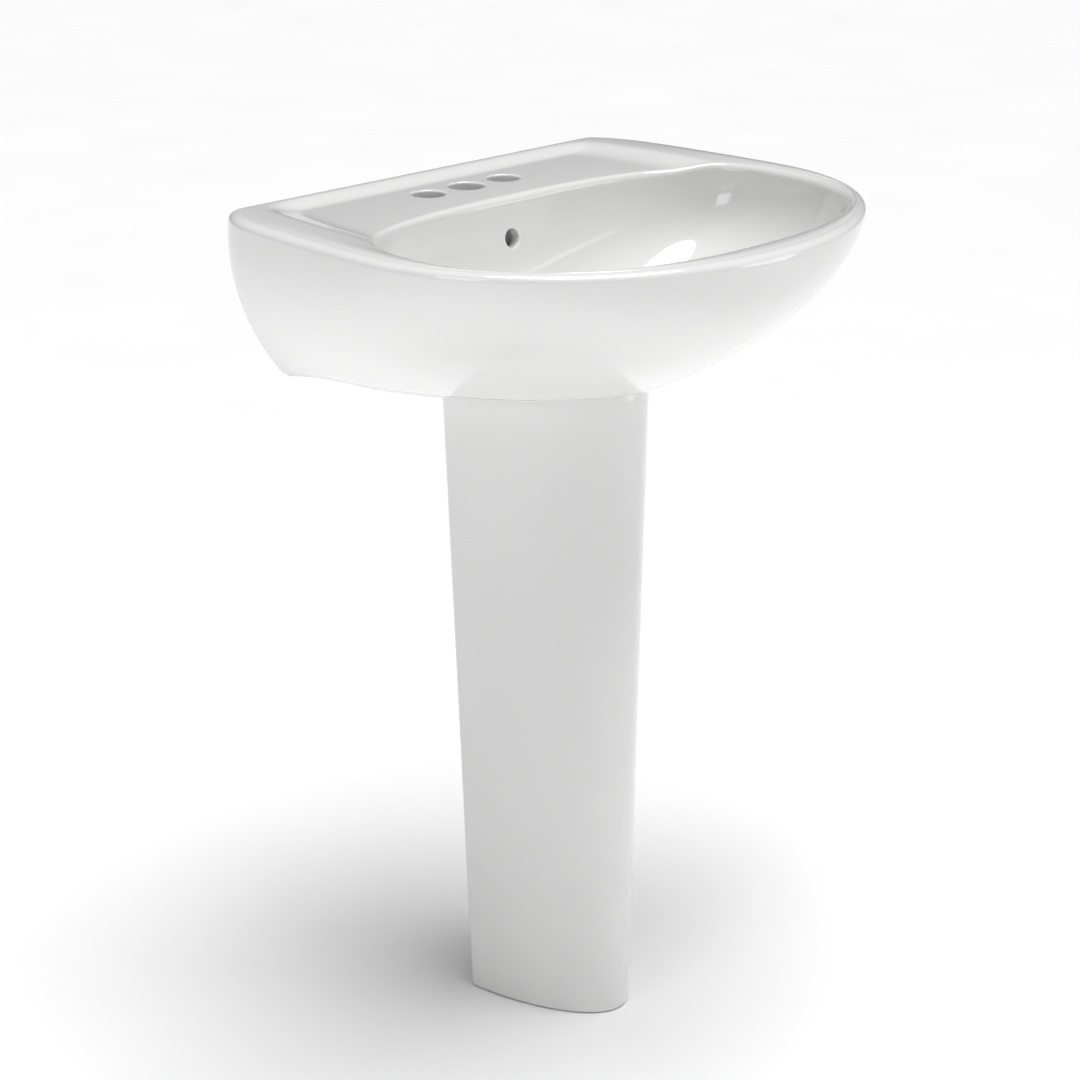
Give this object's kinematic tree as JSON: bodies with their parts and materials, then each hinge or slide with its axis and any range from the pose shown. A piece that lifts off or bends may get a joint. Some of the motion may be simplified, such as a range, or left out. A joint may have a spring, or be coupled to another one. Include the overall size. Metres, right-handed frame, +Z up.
{
  "type": "pedestal sink",
  "caption": "White vitreous china pedestal sink: D-shaped basin with a tap deck and overflow on a tapered open-backed pedestal, with a push-open drain.",
  "frame": {"origin": "on the floor, under the middle of the bounding box; the wall's face is 0.2125 m behind it (+Y)", "axes": "+Z up from the floor, the sink faces -Y, +X is to the right of someone facing it"},
  "size_m": [0.5648, 0.5149, 0.84],
  "materials": {
    "china": "glossy white glaze",
    "chrome": "polished",
    "brass": "turned, unplated",
    "zinc_steel": "zinc plated",
    "black_rubber": "matte",
    "white_nylon": "satin"
  },
  "bodies": {
    "sink": {"basin": "china", "pedestal": "china", "drain_body": "chrome", "drain_flange_seal": "black_rubber", "drain_gasket": "black_rubber", "drain_washer": "white_nylon", "drain_locknut": "brass", "tailpiece": "chrome", "tailpiece_gasket": "black_rubber", "stopper_cartridge": "white_nylon", "stopper_spring": "zinc_steel", "hanger_bolt_left": "zinc_steel", "bolt_sleeve_left": "white_nylon", "bolt_washer_left": "zinc_steel", "bolt_nut_left": "zinc_steel", "hanger_bolt_right": "zinc_steel", "bolt_sleeve_right": "white_nylon", "bolt_washer_right": "zinc_steel", "bolt_nut_right": "zinc_steel"},
    "stopper": {"stopper_cap": "chrome", "stopper_seal": "black_rubber", "stopper_stem": "brass"}
  },
  "joints": [
    {"name": "stopper_slide", "type": "slide", "parent": "sink", "child": "stopper", "axis": [0, 0, 1], "range_m": [-0.009, 0], "stiffness_N_per_m": 300, "springref_m": 0.004, "deforming": ["stopper_spring"]}
  ]
}
